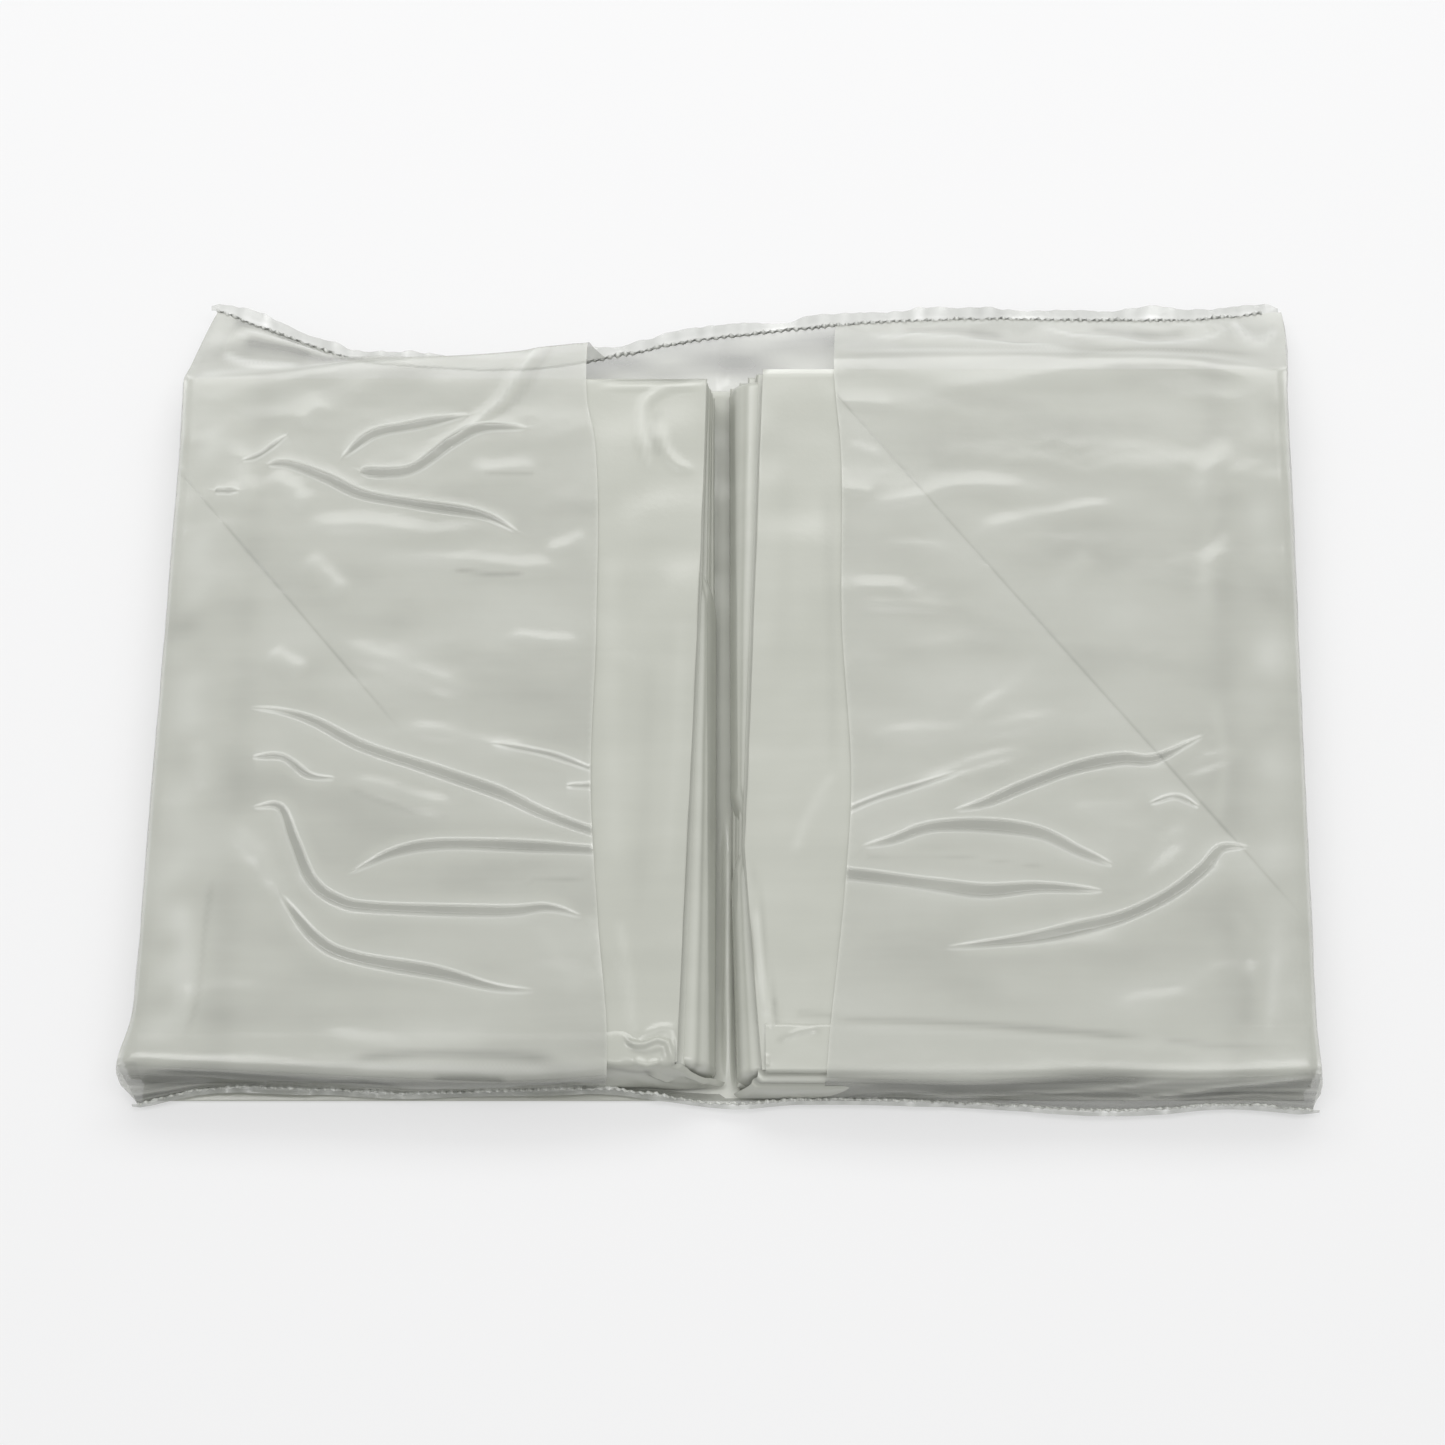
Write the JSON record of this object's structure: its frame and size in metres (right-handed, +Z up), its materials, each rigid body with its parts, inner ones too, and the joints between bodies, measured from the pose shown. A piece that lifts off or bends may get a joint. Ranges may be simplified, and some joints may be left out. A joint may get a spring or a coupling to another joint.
{
  "type": "folded film sheet pack",
  "caption": "Large soft plastic film sheet folded into two stacks side by side, in a slit-front film sleeve with sealed ends.",
  "frame": {"origin": "centre of the pack's bounding box, on its underside", "axes": "+X across the two stacks towards the right one, +Y from the near seal to the far seal, +Z up from the sleeve's back towards its slit front"},
  "size_m": [0.3064, 0.2354, 0.0166],
  "materials": {
    "sleeve_film": "glossy, slightly see-through grey-green soft film",
    "sheet_film": "satin to glossy grey-green soft film, cloudy in a stack",
    "trim_seal": "melted bumpy bead of the same film"
  },
  "bodies": {
    "left_half": {"left_sleeve_back": "sleeve_film", "left_sleeve_side": "sleeve_film", "left_far_fin": "sleeve_film", "left_near_fin": "sleeve_film", "left_far_seal": "trim_seal", "left_near_seal": "trim_seal", "left_bottom_ply": "sheet_film", "left_leaf_1": "sheet_film", "left_leaf_2": "sheet_film", "left_leaf_3": "sheet_film", "left_leaf_4": "sheet_film", "left_leaf_5": "sheet_film"},
    "right_half": {"right_sleeve_back": "sleeve_film", "right_sleeve_side": "sleeve_film", "right_far_fin": "sleeve_film", "right_near_fin": "sleeve_film", "right_far_seal": "trim_seal", "right_near_seal": "trim_seal", "right_bottom_ply": "sheet_film", "right_leaf_1": "sheet_film", "right_leaf_2": "sheet_film", "right_leaf_3": "sheet_film", "right_leaf_4": "sheet_film", "right_leaf_5": "sheet_film"},
    "left_flap": {"left_front_flap": "sleeve_film"},
    "right_flap": {"right_front_flap": "sleeve_film"}
  },
  "joints": [
    {"name": "book_fold", "type": "hinge", "parent": "left_half", "child": "right_half", "pos_m": [-0.002, -0.0085, 0], "axis": [0, -1, 0], "range_deg": [-174, 38]},
    {"name": "left_flap_lift", "type": "hinge", "parent": "left_half", "child": "left_flap", "pos_m": [-0.15025, -0.0085, 0.0161], "axis": [-0.0179, -0.9998, 0], "range_deg": [0, 10]},
    {"name": "right_flap_lift", "type": "hinge", "parent": "right_half", "child": "right_flap", "pos_m": [0.15025, -0.008, 0.0161], "axis": [0.0175, 0.9998, 0], "range_deg": [0, 10]}
  ]
}
